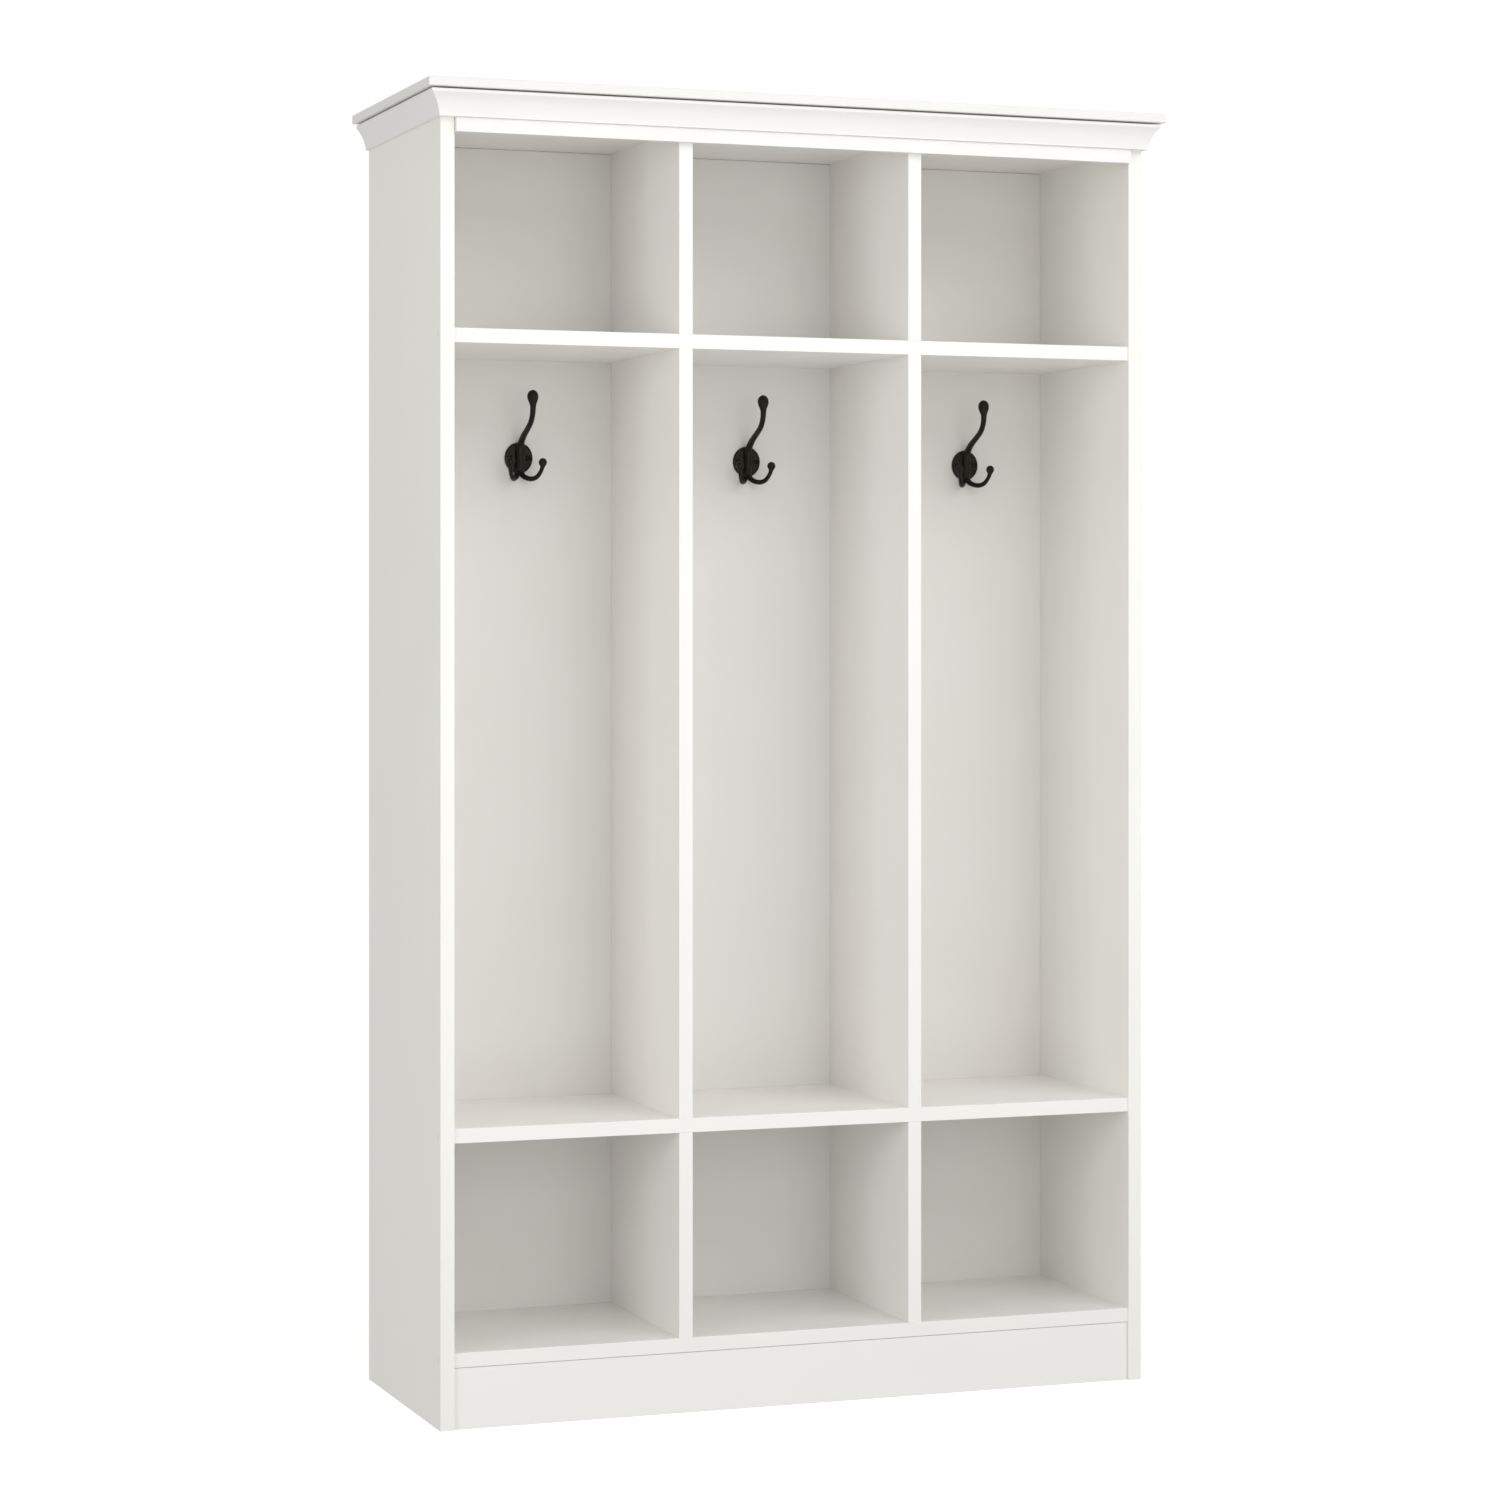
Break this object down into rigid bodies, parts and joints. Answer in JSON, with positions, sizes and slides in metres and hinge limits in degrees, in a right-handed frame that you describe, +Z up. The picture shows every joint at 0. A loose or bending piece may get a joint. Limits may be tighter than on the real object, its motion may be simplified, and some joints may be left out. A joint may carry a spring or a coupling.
{
  "type": "hall tree with hooks",
  "caption": "Free-standing open hall cabinet with three columns, cubbies above and below tall hanging bays, black coat hooks and a crown-moulded cap.",
  "frame": {"origin": "on the floor below the middle of the whole piece's bounding box", "axes": "+Z up, +X to the right of a person facing the open front, -Y out of the open front"},
  "size_m": [1.047, 0.399, 1.743],
  "materials": {
    "white_board": "satin white laminate on particle board",
    "white_paint": "satin white lacquer on moulded fibreboard",
    "white_back": "white lacquered hardboard",
    "raw_board": "raw particle board",
    "beech": "plain beech",
    "black_iron": "oil-rubbed black",
    "black_screw": "blackened steel",
    "zinc_fitting": "zinc die casting",
    "zinc_steel": "zinc-plated steel",
    "white_plastic": "moulded white cover cap",
    "glide_plastic": "moulded floor glide"
  },
  "bodies": {
    "root": {"back_nails": "zinc_steel", "back_sheet_left": "white_back", "back_sheet_middle": "white_back", "back_sheet_right": "white_back", "batten_screws": "zinc_steel", "bottom_shelf": "white_board", "cam_bolts": "zinc_fitting", "cam_locks": "zinc_fitting", "cap_batten_front": "raw_board", "cap_batten_left": "raw_board", "cap_batten_rear": "raw_board", "cap_batten_right": "raw_board", "cap_board": "white_paint", "cap_dowels": "beech", "coat_hook_left": "black_iron", "coat_hook_middle": "black_iron", "coat_hook_right": "black_iron", "crown_brads": "zinc_steel", "crown_front": "white_paint", "crown_left": "white_paint", "crown_right": "white_paint", "divider_dowels": "beech", "divider_screws": "zinc_steel", "floor_glides": "glide_plastic", "frieze_rail": "white_paint", "hook_rail": "white_board", "hook_screws": "black_screw", "left_side_panel": "white_board", "lower_divider_left": "white_board", "lower_divider_right": "white_board", "lower_shelf": "white_board", "middle_divider_left": "white_board", "middle_divider_right": "white_board", "plinth_brace_left": "white_board", "plinth_brace_right": "white_board", "plinth_dowels": "beech", "plinth_front": "white_board", "plinth_rear": "white_board", "rail_dowels": "beech", "right_side_panel": "white_board", "screw_caps": "white_plastic", "shelf_dowels": "beech", "shelf_screws": "zinc_steel", "top_dowels": "beech", "top_panel": "white_board", "top_screws": "zinc_steel", "upper_divider_left": "white_board", "upper_divider_right": "white_board", "upper_shelf": "white_board", "wall_rail": "white_board"}
  },
  "joints": []
}
